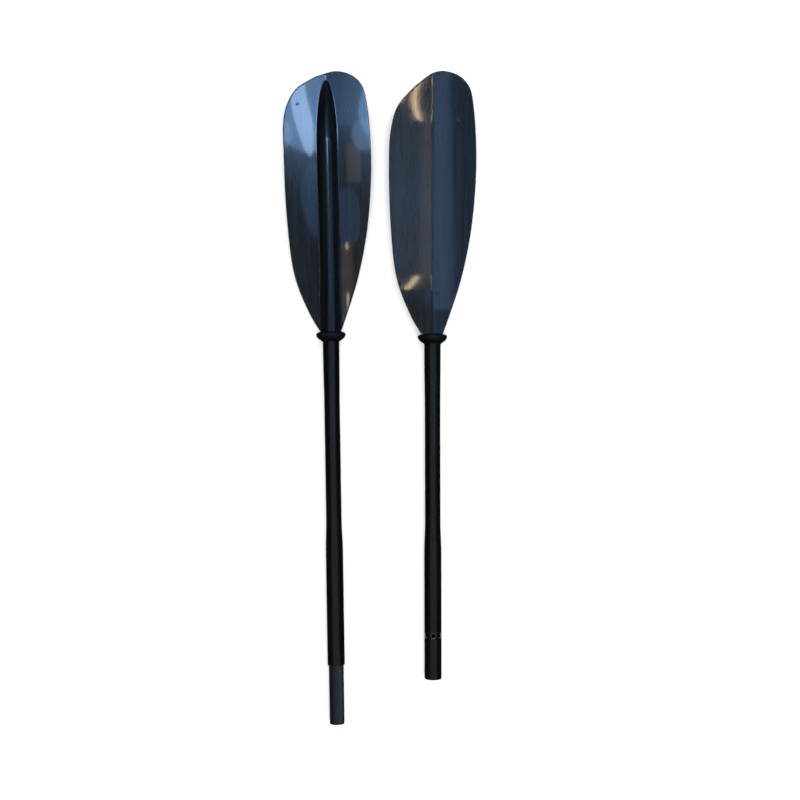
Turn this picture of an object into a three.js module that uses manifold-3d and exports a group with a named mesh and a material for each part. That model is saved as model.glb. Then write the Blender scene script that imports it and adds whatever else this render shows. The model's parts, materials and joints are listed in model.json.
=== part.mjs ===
// A two-piece kayak paddle lying on the ground in its two halves, in millimetres, +Z up.
// The male half lies with the back of its blade up, the female half with its power face up.
// Each half is modelled upright in its own frame and then laid down:
//   y runs along the shaft towards the blade's tip, from the widest level of the drip ring,
//   z points to the power face, and x runs across the blade.
import * as THREE from "three";
import { mergeVertices } from "three/addons/utils/BufferGeometryUtils.js";
import Module from "manifold-3d";

const wasm = await Module();
wasm.setup();

// ---- driving dimensions ----
const SIDES = 28; // facets round every turned piece
const BOND_GAP = 0.3; // clearance left for glue, and between pieces that touch

const SHAFT_RADIUS = 15;
const SHAFT_BORE_RADIUS = 13.75;
const JOINT_RADIUS = 15.7; // the wall is thicker in the last stretch, where the two halves join
const SHAFT_IN_BLADE = 80; // how far the tube reaches into the blade's socket
const MALE_SHAFT_LENGTH = 606.3; // from the drip ring to the shoulder at the ferrule
const FEMALE_SHAFT_LENGTH = 628.2; // from the drip ring to the socket's mouth
const OVAL_HALF_WIDTH = 14.1; // half the width across the blade where the hand holds the shaft
const OVAL_STARTS = 30; // below the ring: the tube is round to here
const OVAL_FULL_FROM = 140;
const OVAL_FULL_TO = 341;
const OVAL_ENDS = 396; // and round again from here
const OVAL_STEPS = 3; // rings of vertices in each change from round to oval

const FERRULE_RADIUS = 13.5;
const FERRULE_BORE_RADIUS = 11.5;
const FERRULE_EXPOSED = 109;
const FERRULE_BONDED = 90; // the length glued inside the male shaft
const CAP_THICKNESS = 3;
const CAP_PLUG_LENGTH = 10;

const BUTTON_RADIUS = 4;
const BUTTON_TIP = 17; // from the ferrule's axis to the top of the button
const BUTTON_HOLE_RADIUS = 4.4;
const BUTTON_FROM_SHOULDER = 81; // the same as the feather holes from the socket's mouth
const FEATHER_ANGLES = [-60, 0, 60];
const SPRING_WIDTH = 8;
const SPRING_THICKNESS = 0.8;
const SPRING_LEG_HEIGHT = 10.3; // from the ferrule's axis to a leg's outer face
const SPRING_LENGTH = 36;
const SPRING_PAST_BUTTON = 8;

const RING_RADIUS = 27;
const RING_BORE_RADIUS = 15.3;
const RING_TOP = 5.2; // where the ring ends, just under the blade's root
const RING_FOOT = -12.8;
// Radius and height down the ring's outside: a domed top, a thin brim and a bowl below it.
const RING_PROFILE = [
  [16, RING_FOOT], [18.2, -10.9], [21.4, -8.8], [24.5, -6], [26.2, -3.2], [RING_RADIUS, 0],
  [26.4, 1.8], [24.6, 3.2], [21.4, 4.4], [18.4, RING_TOP],
];

const BLADE_ROOT = RING_TOP + BOND_GAP;
const BLADE_TIP = 482.8;
const MALE_BLADE_RAISED = 1.2; // how much further along its shaft than drawn each blade's outline sits
const FEMALE_BLADE_RAISED = -1.4;
const TIP_ACROSS = 18.5; // how far the highest point lies towards the long side
const PANEL_FALL = 0.11; // each panel falls away from the crease by this much per millimetre
const PANEL_CUP = 0.0004; // and curls back up a little towards its edge
const PLATE_MIDDLE = 3.6; // thickness at the crease
const PLATE_EDGE = 2.5; // and at the widest part of the edge
const PLATE_HALF_WIDTH = 82;
const BLADE_DRIFT = 2.5; // the blade's middle line leans this far sideways by its tip

const COLLAR_RADIUS = 18.2; // the rib is a little thicker at its root
const COLLAR_LENGTH = 100;
const RIB_RADIUS = 17.2;
const RIB_FULL_TO = 355; // the rib is a full half-round to here and then sinks into the plate
const RIB_ENDS = 467;
const RIDGE_HALF_WIDTH = 0.8; // the low ridge that runs on from the rib's point to the edge
const RIB_WALL = 2.4;
const CORE_ENDS = 400;
const CORE_NARROWS_FROM = 300;
const PLUG_LENGTH = 25;
const SOCKET_DEPTH = 116;

const SHAFT_SPACING = 185.9; // between the two halves at their rings
const RING_STAGGER = 4.2; // the female ring lies this much lower along the shaft
const MALE_LEAN = 0.88; // degrees that each half is turned on the ground
const FEMALE_LEAN = 0.14;

// Height along the blade and distance from its middle line, from the root to just short of the tip.
const LONG_SIDE = [[0, 16.7], [40, 31], [107, 52.6], [200, 71.3], [320, 80], [425, 73.5], [455, 66], [474, 48.3]];
const SHORT_SIDE = [[0, 17.4], [40, 40.2], [107, 65.1], [200, 76.1], [320, 79.9]];
const MALE_SHOULDER = [[407, 76.7], [448, 57.2], [466.5, 31.6], [475, 14]];
const FEMALE_SHOULDER = [[379, 77], [420, 65.4], [450, 40], [468, 18], [478, 3]];
// Height along the blade and distance in front of the shaft's axis, along the crease.
const CREASE_LINE = [[0, 17.8], [80, 17.2], [180, 11.5], [290, 8], [390, 10], [BLADE_TIP, 18]];

const COLOURS = {
  blade: { color: "#17202b", roughness: 0.32, metalness: 0 },
  shaft: { color: "#0b0b0c", roughness: 0.38, metalness: 0 },
  ferrule: { color: "#23272c", roughness: 0.55, metalness: 0 },
  rubber: { color: "#0a0a0a", roughness: 0.8, metalness: 0 },
  cap: { color: "#101112", roughness: 0.6, metalness: 0 },
  foam: { color: "#c9c4b4", roughness: 0.95, metalness: 0 },
  steel: { color: "#b9bcc0", roughness: 0.3, metalness: 1 },
};

// ---- helpers ----

const radians = THREE.MathUtils.degToRad;

function toSolid(geometry) {
  const bare = geometry.clone();
  bare.deleteAttribute("normal");
  bare.deleteAttribute("uv");
  const merged = mergeVertices(bare, 1e-4);
  const vertProperties = merged.attributes.position.array;
  const triVerts = new Uint32Array(merged.index.array);
  return new wasm.Manifold(new wasm.Mesh({ numProp: 3, vertProperties, triVerts }));
}

function toGeometry(solid) {
  const mesh = solid.getMesh();
  const geometry = new THREE.BufferGeometry();
  geometry.setAttribute("position", new THREE.BufferAttribute(mesh.vertProperties, 3));
  geometry.setIndex(new THREE.BufferAttribute(mesh.triVerts, 1));
  geometry.computeVertexNormals();
  return geometry;
}

function cut(geometry, tools) {
  let solid = toSolid(geometry);
  for (const tool of tools) solid = solid.subtract(toSolid(tool));
  return toGeometry(solid);
}

function named(name, geometry, finish) {
  const mesh = new THREE.Mesh(geometry, new THREE.MeshStandardMaterial(COLOURS[finish]));
  mesh.name = name;
  return mesh;
}

function buildGeometry(points, triangles) {
  const geometry = new THREE.BufferGeometry().setFromPoints(points);
  geometry.setIndex(triangles);
  return geometry;
}

// Triangles between each loop of vertices and the next. Loops run clockwise seen from +y.
function skinTriangles(loopCount, size, offset, inward) {
  const triangles = [];
  for (let i = 0; i < loopCount - 1; i++) {
    for (let k = 0; k < size; k++) {
      const a = offset + i * size + k;
      const b = offset + i * size + ((k + 1) % size);
      const quad = [a, b, b + size, a, b + size, a + size];
      triangles.push(...(inward ? quad.reverse() : quad));
    }
  }
  return triangles;
}

function averageOf(loop) {
  const sum = loop.reduce((total, p) => total.add(p), new THREE.Vector3());
  return sum.divideScalar(loop.length);
}

// A closed body through loops of vertices that climb along y, with a flat face at each end.
// Each end is a fan round the point that heartOf gives, which sees all of its loop.
function loft(loops, heartOf = averageOf) {
  const size = loops[0].length;
  const triangles = skinTriangles(loops.length, size, 0, false);
  const last = (loops.length - 1) * size;
  const hearts = last + size;
  for (let k = 0; k < size; k++) {
    const next = (k + 1) % size;
    triangles.push(hearts, next, k);
    triangles.push(hearts + 1, last + k, last + next);
  }
  return buildGeometry([...loops.flat(), heartOf(loops[0]), heartOf(loops.at(-1))], triangles);
}

// An open-ended tube between outer loops and inner loops at the same heights.
function tube(outer, inner) {
  const size = outer[0].length;
  const count = outer.length;
  const innerAt = count * size;
  const triangles = [
    ...skinTriangles(count, size, 0, false),
    ...skinTriangles(count, size, innerAt, true),
  ];
  for (const row of [0, count - 1]) {
    for (let k = 0; k < size; k++) {
      const a = row * size + k;
      const b = row * size + ((k + 1) % size);
      const quad = [a, innerAt + a, innerAt + b, a, innerAt + b, b];
      triangles.push(...(row === 0 ? quad : quad.reverse()));
    }
  }
  return buildGeometry([...outer.flat(), ...inner.flat()], triangles);
}

function ellipseLoop(height, halfWidth, halfDepth, centreX = 0, centreZ = 0) {
  return Array.from({ length: SIDES }, (_, k) => {
    const angle = (2 * Math.PI * k) / SIDES;
    return new THREE.Vector3(
      centreX + halfWidth * Math.sin(angle),
      height,
      centreZ + halfDepth * Math.cos(angle),
    );
  });
}

function turned(profile) {
  return new THREE.LatheGeometry(profile.map(([r, y]) => new THREE.Vector2(r, y)), SIDES);
}

function plug(radius, from, to) {
  return turned([[0, from], [radius, from], [radius, to], [0, to]]);
}

// A hole or a button that points out of the shaft, turned from the power face by an angle.
function radialCylinder(radius, height, angle) {
  const geometry = new THREE.CylinderGeometry(radius, radius, SHAFT_RADIUS + 5, SIDES);
  geometry.rotateX(Math.PI / 2);
  geometry.translate(0, 0, (SHAFT_RADIUS + 5) / 2);
  geometry.rotateY(radians(angle));
  geometry.translate(0, height, 0);
  return geometry;
}

// A smooth curve through [height, value] points, read back as value at a height.
function heightCurve(points) {
  const curve = new THREE.SplineCurve(points.map(([h, v]) => new THREE.Vector2(h, v)));
  const samples = curve.getSpacedPoints(400);
  return (height) => {
    let i = 1;
    while (i < samples.length - 1 && samples[i].x < height) i++;
    const share = (height - samples[i - 1].x) / (samples[i].x - samples[i - 1].x);
    return samples[i - 1].y + share * (samples[i].y - samples[i - 1].y);
  };
}

// ---- the blade's shape ----

const creaseAt = heightCurve(CREASE_LINE);

// One spline runs up the long side, over the tip and down the short side, so the tip is round.
function outlineOf(shoulder) {
  const short = [...SHORT_SIDE, ...shoulder].map(([h, x]) => [h, -x]);
  const points = [...LONG_SIDE, [BLADE_TIP, TIP_ACROSS], ...short.reverse()];
  const curve = new THREE.CatmullRomCurve3(
    points.map(([h, x]) => new THREE.Vector3(x, h, 0)),
    false,
    "centripetal",
  );
  const samples = curve.getSpacedPoints(600);
  const top = samples.reduce((best, p, i) => (p.y > samples[best].y ? i : best), 0);
  const across = (side, height) => {
    const step = side > 0 ? 1 : -1;
    let i = side > 0 ? 0 : samples.length - 1;
    while (i !== top - step && samples[i + step].y < height) i += step;
    const low = samples[i];
    const high = samples[i + step];
    const share = THREE.MathUtils.clamp((height - low.y) / (high.y - low.y), 0, 1);
    return low.x + share * (high.x - low.x);
  };
  return { highest: samples[top].y, across };
}

function plateThickness(x) {
  const share = Math.min(1, Math.abs(x) / PLATE_HALF_WIDTH);
  return PLATE_MIDDLE + (PLATE_EDGE - PLATE_MIDDLE) * share;
}

function powerFaceAt(x, height) {
  return creaseAt(height) - PANEL_FALL * Math.abs(x) + PANEL_CUP * x * x;
}

function backFaceAt(x, height) {
  return powerFaceAt(x, height) - plateThickness(x);
}

// The rib is a round bar that runs straight on from the shaft and then rises out through the plate.
// Gives its radius, the height of its centre, and half the width that shows at the plate.
function ribAt(height) {
  const radius = THREE.MathUtils.lerp(COLLAR_RADIUS, RIB_RADIUS, Math.min(1, height / COLLAR_LENGTH));
  const sunk = THREE.MathUtils.clamp((height - RIB_FULL_TO) / (RIB_ENDS - RIB_FULL_TO), 0, 0.998);
  const halfWidth = Math.max(RIDGE_HALF_WIDTH, radius * Math.sqrt(1 - sunk * sunk));
  const rise = Math.min(1, height / RIB_FULL_TO);
  const lowest = THREE.MathUtils.lerp(0, backFaceAt(radius, RIB_FULL_TO), rise ** 3);
  const centre = sunk > 0 ? backFaceAt(halfWidth, height) + radius * sunk : lowest;
  return { radius, centre, halfWidth };
}

const PANEL_COLUMNS = 4;
const RIB_COLUMNS = 10;
const POWER_COLUMNS = 4;

// One closed loop of vertices across the blade: the power face, then the back with its rib.
function bladeSection(height, outline, hand, shift) {
  const along = height + shift;
  const right = hand > 0 ? outline.across(1, along) : -outline.across(-1, along);
  const left = hand > 0 ? outline.across(-1, along) : -outline.across(1, along);
  const middle = THREE.MathUtils.clamp(0, left + 2, right - 2);
  const rib = ribAt(height);
  const drift = BLADE_DRIFT * (height / BLADE_TIP) ** 2;
  const loop = [];
  const add = (x, z) => loop.push(new THREE.Vector3(x + drift, height, z));
  for (let k = 0; k < POWER_COLUMNS; k++) {
    const x = THREE.MathUtils.lerp(left, middle, k / POWER_COLUMNS);
    add(x, powerFaceAt(x, height));
  }
  for (let k = 0; k <= POWER_COLUMNS; k++) {
    const x = THREE.MathUtils.lerp(middle, right, k / POWER_COLUMNS);
    add(x, powerFaceAt(x, height));
  }
  const foot = Math.min(rib.halfWidth, right - middle - 0.5, middle - left - 0.5);
  for (let k = 0; k < PANEL_COLUMNS; k++) {
    const x = THREE.MathUtils.lerp(right, middle + foot, k / PANEL_COLUMNS);
    add(x, backFaceAt(x, height));
  }
  add(middle + foot, backFaceAt(middle + foot, height));
  for (let k = 1; k < RIB_COLUMNS; k++) {
    const x = foot * Math.cos((Math.PI * k) / RIB_COLUMNS);
    const round = rib.centre - Math.sqrt(Math.max(0, rib.radius ** 2 - x * x));
    add(middle + x, Math.min(round, backFaceAt(middle + x, height) - 0.05));
  }
  for (let k = 0; k <= PANEL_COLUMNS; k++) {
    const x = THREE.MathUtils.lerp(middle - foot, left, k / PANEL_COLUMNS);
    add(x, backFaceAt(x, height));
  }
  return loop;
}

function bladeHeights(top) {
  const heights = [BLADE_ROOT, 14, 26, 40, 60];
  for (let h = 85; h < 350; h += 32) heights.push(h);
  for (const h of [RIB_FULL_TO, 375, 395, 412, 428, 441, 452, 461, 468, 474, 478.5]) heights.push(h);
  return [...heights.filter((h) => h < top - 2), top - 1, top - 0.2];
}

// The hollow of the rib: an oval bar inside the walls, from the shaft's end nearly to the point.
function coreLoops(gap) {
  const from = SHAFT_IN_BLADE + gap;
  const to = CORE_ENDS - gap;
  const steps = 8;
  return Array.from({ length: steps + 1 }, (_, k) => {
    const height = THREE.MathUtils.lerp(from, to, k / steps);
    const rib = ribAt(height);
    const roof = powerFaceAt(RIB_RADIUS, height) - RIB_WALL;
    const floor = rib.centre - rib.radius + RIB_WALL;
    const narrow = THREE.MathUtils.clamp((height - CORE_NARROWS_FROM) / (CORE_ENDS - CORE_NARROWS_FROM), 0, 1);
    const halfWidth = THREE.MathUtils.lerp(rib.radius - RIB_WALL, 9, narrow);
    const drift = BLADE_DRIFT * (height / BLADE_TIP) ** 2;
    return ellipseLoop(height, halfWidth - gap, (roof - floor) / 2 - gap, drift, (roof + floor) / 2);
  });
}

// The middle of the plate under the crease.
function plateHeart(loop) {
  return loop[POWER_COLUMNS].clone().setZ(loop[POWER_COLUMNS].z - PLATE_MIDDLE / 2);
}

function bladeGeometry(shoulder, hand, shift) {
  const outline = outlineOf(shoulder);
  const top = outline.highest - shift;
  const sections = bladeHeights(top).map((h) => bladeSection(h, outline, hand, shift));
  const body = loft(sections, plateHeart);
  const socket = plug(SHAFT_RADIUS + BOND_GAP, BLADE_ROOT - 5, SHAFT_IN_BLADE + BOND_GAP);
  return cut(body, [socket, loft(coreLoops(0))]);
}

// ---- shafts, ferrule and button ----

function ovalShare(depth) {
  const growing = THREE.MathUtils.smoothstep(depth, OVAL_STARTS, OVAL_FULL_FROM);
  return growing - THREE.MathUtils.smoothstep(depth, OVAL_FULL_TO, OVAL_ENDS);
}

function shaftGeometry(length) {
  const depths = [-SHAFT_IN_BLADE];
  for (let k = 0; k <= OVAL_STEPS; k++) {
    depths.push(THREE.MathUtils.lerp(OVAL_STARTS, OVAL_FULL_FROM, k / OVAL_STEPS));
  }
  for (let k = 0; k <= OVAL_STEPS; k++) {
    depths.push(THREE.MathUtils.lerp(OVAL_FULL_TO, OVAL_ENDS, k / OVAL_STEPS));
  }
  depths.push(length);
  const loopsOf = (radius, swell) =>
    depths.toReversed().map((depth) => {
      const squeeze = (SHAFT_RADIUS - OVAL_HALF_WIDTH) * ovalShare(depth);
      const wide = radius + swell * THREE.MathUtils.smoothstep(depth, OVAL_FULL_TO, OVAL_ENDS);
      return ellipseLoop(-depth, wide - squeeze, wide);
    });
  return tube(loopsOf(SHAFT_RADIUS, JOINT_RADIUS - SHAFT_RADIUS), loopsOf(SHAFT_BORE_RADIUS, 0));
}

function femaleShaftGeometry() {
  const height = BUTTON_FROM_SHOULDER - FEMALE_SHAFT_LENGTH;
  const holes = FEATHER_ANGLES.map((angle) => radialCylinder(BUTTON_HOLE_RADIUS, height, angle));
  return cut(shaftGeometry(FEMALE_SHAFT_LENGTH), holes);
}

function ferruleGeometry() {
  const foot = -MALE_SHAFT_LENGTH - FERRULE_EXPOSED + CAP_THICKNESS;
  const head = -MALE_SHAFT_LENGTH + FERRULE_BONDED;
  const pipe = tube(
    [ellipseLoop(foot, FERRULE_RADIUS, FERRULE_RADIUS), ellipseLoop(head, FERRULE_RADIUS, FERRULE_RADIUS)],
    [
      ellipseLoop(foot, FERRULE_BORE_RADIUS, FERRULE_BORE_RADIUS),
      ellipseLoop(head, FERRULE_BORE_RADIUS, FERRULE_BORE_RADIUS),
    ],
  );
  const height = -MALE_SHAFT_LENGTH - BUTTON_FROM_SHOULDER;
  return cut(pipe, [radialCylinder(BUTTON_HOLE_RADIUS, height, 0)]);
}

function ferruleCapGeometry() {
  const tip = -MALE_SHAFT_LENGTH - FERRULE_EXPOSED;
  const seat = tip + CAP_THICKNESS - BOND_GAP;
  const round = 1.5;
  const plugRadius = FERRULE_BORE_RADIUS - BOND_GAP;
  return turned([
    [0, tip],
    [FERRULE_RADIUS - round, tip],
    [FERRULE_RADIUS - round * 0.3, tip + round * 0.3],
    [FERRULE_RADIUS, tip + round],
    [FERRULE_RADIUS, seat],
    [plugRadius, seat],
    [plugRadius, seat + CAP_PLUG_LENGTH],
    [0, seat + CAP_PLUG_LENGTH],
  ]);
}

function snapButtonMesh() {
  const base = SPRING_LEG_HEIGHT + BOND_GAP;
  const dome = 1.4;
  const geometry = turned([
    [0, base],
    [BUTTON_RADIUS, base],
    [BUTTON_RADIUS, BUTTON_TIP - dome],
    [BUTTON_RADIUS * 0.85, BUTTON_TIP - dome * 0.4],
    [BUTTON_RADIUS * 0.5, BUTTON_TIP - dome * 0.08],
    [0, BUTTON_TIP],
  ]);
  const button = named("snap_button", geometry, "steel");
  button.rotation.x = Math.PI / 2;
  button.position.y = -MALE_SHAFT_LENGTH - BUTTON_FROM_SHOULDER;
  return button;
}

// A strip bent into a long narrow V: its free ends press on the ferrule's walls.
function buttonSpringMesh() {
  const start = -SPRING_PAST_BUTTON;
  const end = SPRING_LENGTH - SPRING_PAST_BUTTON;
  const nose = 2.5;
  const inner = SPRING_LEG_HEIGHT - SPRING_THICKNESS;
  const strip = new THREE.Shape();
  strip.moveTo(start, SPRING_LEG_HEIGHT);
  strip.lineTo(SPRING_PAST_BUTTON, SPRING_LEG_HEIGHT);
  strip.lineTo(end - nose, nose);
  strip.absarc(end - nose, 0, nose, Math.PI / 2, -Math.PI / 2, true);
  strip.lineTo(SPRING_PAST_BUTTON, -SPRING_LEG_HEIGHT);
  strip.lineTo(start, -SPRING_LEG_HEIGHT);
  strip.lineTo(start, -inner);
  strip.lineTo(SPRING_PAST_BUTTON, -inner);
  strip.lineTo(end - nose, -nose + SPRING_THICKNESS);
  strip.absarc(end - nose, 0, nose - SPRING_THICKNESS, -Math.PI / 2, Math.PI / 2, false);
  strip.lineTo(SPRING_PAST_BUTTON, inner);
  strip.lineTo(start, inner);
  const geometry = new THREE.ExtrudeGeometry(strip, { depth: SPRING_WIDTH, bevelEnabled: false, curveSegments: 6 });
  geometry.translate(0, 0, -SPRING_WIDTH / 2);
  geometry.rotateY(Math.PI / 2);
  geometry.rotateX(Math.PI / 2);
  const spring = named("button_spring", geometry, "steel");
  spring.position.y = -MALE_SHAFT_LENGTH - BUTTON_FROM_SHOULDER;
  return spring;
}

function dripRingGeometry() {
  return turned([
    [RING_BORE_RADIUS, RING_FOOT],
    ...RING_PROFILE,
    [RING_BORE_RADIUS, RING_TOP],
    [RING_BORE_RADIUS, RING_FOOT],
  ]);
}

// ---- the two halves ----

function maleHalf() {
  const half = new THREE.Group();
  const boreRadius = SHAFT_BORE_RADIUS - BOND_GAP;
  const plugTop = SHAFT_IN_BLADE - 1;
  half.add(named("male_blade", bladeGeometry(MALE_SHOULDER, -1, -MALE_BLADE_RAISED), "blade"));
  half.add(named("male_blade_core", loft(coreLoops(BOND_GAP)), "foam"));
  half.add(named("male_shaft", shaftGeometry(MALE_SHAFT_LENGTH), "shaft"));
  half.add(named("male_shaft_end_plug", plug(boreRadius, plugTop - PLUG_LENGTH, plugTop), "foam"));
  half.add(named("ferrule", ferruleGeometry(), "ferrule"));
  half.add(named("ferrule_end_plug", ferruleCapGeometry(), "cap"));
  half.add(named("male_drip_ring", dripRingGeometry(), "rubber"));
  half.add(snapButtonMesh());
  half.add(buttonSpringMesh());
  return half;
}

function femaleHalf() {
  const half = new THREE.Group();
  const boreRadius = SHAFT_BORE_RADIUS - BOND_GAP;
  const plugTop = SHAFT_IN_BLADE - 1;
  const socketEnd = SOCKET_DEPTH - FEMALE_SHAFT_LENGTH;
  half.add(named("female_blade", bladeGeometry(FEMALE_SHOULDER, 1, -FEMALE_BLADE_RAISED), "blade"));
  half.add(named("female_blade_core", loft(coreLoops(BOND_GAP)), "foam"));
  half.add(named("female_shaft", femaleShaftGeometry(), "shaft"));
  half.add(named("female_shaft_end_plug", plug(boreRadius, plugTop - PLUG_LENGTH, plugTop), "foam"));
  half.add(named("socket_plug", plug(boreRadius, socketEnd, socketEnd + PLUG_LENGTH), "foam"));
  half.add(named("female_drip_ring", dripRingGeometry(), "rubber"));
  return half;
}

// Lays a half on the ground: it rests on its drip ring and on a point of a smaller radius
// further down, so its shaft slopes a little.
function laidDown(half, x, y, leanDegrees, restRadius, restDepth) {
  const sloping = new THREE.Group().add(half);
  sloping.rotation.x = Math.asin((RING_RADIUS - restRadius) / restDepth);
  const leaning = new THREE.Group().add(sloping);
  leaning.rotation.z = radians(leanDegrees);
  leaning.position.set(x, y, RING_RADIUS);
  return leaning;
}

const paddle = new THREE.Group();
const male = maleHalf();
male.rotation.y = Math.PI;
const buttonDepth = MALE_SHAFT_LENGTH + BUTTON_FROM_SHOULDER;
paddle.add(laidDown(male, 0, 0, MALE_LEAN, BUTTON_TIP, buttonDepth));
const female = femaleHalf();
paddle.add(laidDown(female, SHAFT_SPACING, -RING_STAGGER, FEMALE_LEAN, JOINT_RADIUS, FEMALE_SHAFT_LENGTH));

// The origin is the middle of the box round both halves, on the ground.
const whole = new THREE.Box3().setFromObject(paddle, true);
const middle = whole.getCenter(new THREE.Vector3());
paddle.children.forEach((child) => child.position.sub(new THREE.Vector3(middle.x, middle.y, whole.min.z)));

export default paddle;
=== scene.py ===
"""A take-down kayak paddle lying on a pale floor in its two halves.

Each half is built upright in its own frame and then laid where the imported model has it:
y runs along the shaft to the blade's tip from the drip ring's widest level,
z points to the power face, and x runs across the blade. Sizes are in millimetres until a
piece is placed, and metres after that.
"""
import json
import math

import bmesh
import bpy
import numpy as np
from mathutils import Matrix, Vector


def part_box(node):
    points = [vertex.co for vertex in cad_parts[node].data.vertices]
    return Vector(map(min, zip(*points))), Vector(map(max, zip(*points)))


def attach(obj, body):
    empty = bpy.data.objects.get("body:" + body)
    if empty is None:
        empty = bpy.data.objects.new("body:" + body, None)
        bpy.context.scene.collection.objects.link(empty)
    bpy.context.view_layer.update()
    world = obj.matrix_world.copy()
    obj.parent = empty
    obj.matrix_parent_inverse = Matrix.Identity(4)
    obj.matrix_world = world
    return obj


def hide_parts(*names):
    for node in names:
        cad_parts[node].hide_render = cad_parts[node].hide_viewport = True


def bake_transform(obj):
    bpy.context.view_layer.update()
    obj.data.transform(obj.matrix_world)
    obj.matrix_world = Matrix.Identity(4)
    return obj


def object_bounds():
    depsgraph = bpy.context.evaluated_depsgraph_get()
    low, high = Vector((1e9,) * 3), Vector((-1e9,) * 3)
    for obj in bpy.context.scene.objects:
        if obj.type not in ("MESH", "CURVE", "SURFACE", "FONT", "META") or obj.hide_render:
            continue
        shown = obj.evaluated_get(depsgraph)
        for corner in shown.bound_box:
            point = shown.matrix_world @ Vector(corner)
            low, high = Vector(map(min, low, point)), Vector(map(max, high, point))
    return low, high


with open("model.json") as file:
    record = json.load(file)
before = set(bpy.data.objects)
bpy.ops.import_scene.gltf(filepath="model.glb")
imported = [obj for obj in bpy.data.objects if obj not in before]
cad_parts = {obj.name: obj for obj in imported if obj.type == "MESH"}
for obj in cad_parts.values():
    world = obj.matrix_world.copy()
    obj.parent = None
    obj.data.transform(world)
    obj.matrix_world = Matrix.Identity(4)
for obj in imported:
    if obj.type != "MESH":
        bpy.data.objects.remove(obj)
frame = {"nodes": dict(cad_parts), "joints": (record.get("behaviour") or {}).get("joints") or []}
cad_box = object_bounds()

MM = 0.001

# ---- sizes of the paddle's pieces, in millimetres ----
SHAFT_RADIUS = 15.0
SHAFT_BORE = 13.75
JOINT_RADIUS = 15.7  # the wall is thicker in the last stretch, where the two halves join
SHAFT_IN_BLADE = 80.0
SHAFT_LENGTH = {"male": 606.3, "female": 628.2}
OVAL_HALF_WIDTH = 14.1
OVAL_RISE = (30.0, 140.0)  # below the ring, the tube turns from round to oval over this stretch
OVAL_FALL = (341.0, 396.0)  # and back to round over this one
TUBE_LIP = 0.35  # rounding of a cut tube end
TUBE_LIP_STARTS = 1.2
END_STRETCH = 8.0  # the last stretch before a cut end, which has sections of its own

FERRULE_RADIUS = 13.5
FERRULE_BORE = 11.5
FERRULE_EXPOSED = 109.0
FERRULE_BONDED = 90.0
CAP_THICKNESS = 3.0
CAP_PLUG_LENGTH = 10.0
CAP_CORNER = 1.5
CAP_DISH_DEPTH = 0.5
CAP_DISH_RADIUS = (9.5, 10.2)  # of its floor and of its rim
CAP_CHAMFER = 0.2
CAP_PLUG_CHAMFER = 1.0

BUTTON_RADIUS = 4.0
BUTTON_BASE = 10.6  # from the ferrule's axis, as the tip is
BUTTON_TIP = 17.0
BUTTON_DOME = 1.4
BUTTON_CHAMFER = 0.3
SPRING_LEG_HEIGHT = 10.3  # from the ferrule's axis to a leg's outer face
SPRING_WIDTH = 8.0
SPRING_THICKNESS = 0.8
SPRING_NOSE = 2.5
SPRING_BEHIND = 8.0  # how far the straight of each leg runs to either side of the button
SPRING_AHEAD = 28.0  # from the button to the bend
HOLE_RADIUS = 4.4
HOLE_CHAMFER = 1.0
CHAMFER_FROM = -0.75  # the countersink's two ends, measured out from the tube's surface
CHAMFER_TO = 0.15
DRILL_REACH = (5.0, 20.0)  # from the tube's axis
HOLE_FROM_END = 81.0
FEATHER_ANGLES = (-60, 0, 60)

RING_RADIUS = 27.0
RING_BORE = 15.3
RING_TOP = 5.2
RING_FOOT = -12.8
RING_FOOT_CHAMFER = 0.25
RING_TOP_CHAMFER = 0.3
RING_SHARP_DEGREES = 50

BLADE_ROOT = 5.5
BLADE_TIP = 482.8
TIP_ACROSS = 18.5
PANEL_FALL = 0.11
PANEL_CUP = 0.0004
CREASE_SOFTNESS = 0.7  # how far the moulded crease is rounded off
PLATE_MIDDLE = 3.6
PLATE_EDGE = 2.5
PLATE_HALF_WIDTH = 82.0
BLADE_DRIFT = 2.5
COLLAR_RADIUS = 18.2
COLLAR_LENGTH = 100.0
RIB_RADIUS = 17.2
RIB_FULL_TO = 355.0
RIB_ENDS = 467.0
RIDGE_HALF_WIDTH = 0.8
RIB_FILLET = 2.4
SOCKET_GAP = 0.3
CREASE_CLEAR = 8.0  # the crease stays on the middle line while both edges are further out than this
CREASE_KEEPS_LEFT = 0.45  # and otherwise leaves at least these shares of the width to its sides
CREASE_KEEPS_RIGHT = 0.3
RIB_KEEPS = 0.4  # beyond its end the rib takes at most this share of the room to each side
FOOT_WIDTH = 6.0  # the rib's section runs this far out over the panel, or this share of the room
FOOT_SHARE = 0.55
SCUFF_REACH = 9.0  # how far in from the edge the scuffs go

# Height along the blade and distance from its middle line.
LONG_SIDE = [(0, 16.7), (40, 31), (107, 52.6), (200, 71.3), (320, 80), (425, 73.5), (455, 66), (474, 48.3)]
SHORT_SIDE = [(0, 17.4), (40, 40.2), (107, 65.1), (200, 76.1), (320, 79.9)]
SHOULDER = {
    "male": [(407, 76.7), (448, 57.2), (466.5, 31.6), (475, 14)],
    "female": [(379, 77), (420, 65.4), (450, 40), (468, 18), (478, 3)],
}
# Height along the blade and distance in front of the shaft's axis, along the crease.
CREASE_LINE = [(0, 17.8), (80, 17.2), (180, 11.5), (290, 8), (390, 10), (BLADE_TIP, 18)]
HAND = {"male": -1, "female": 1}  # the side of the long edge, seen on the power face
ROOT_SHIFT = {"male": -1.2, "female": 1.4}
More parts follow.
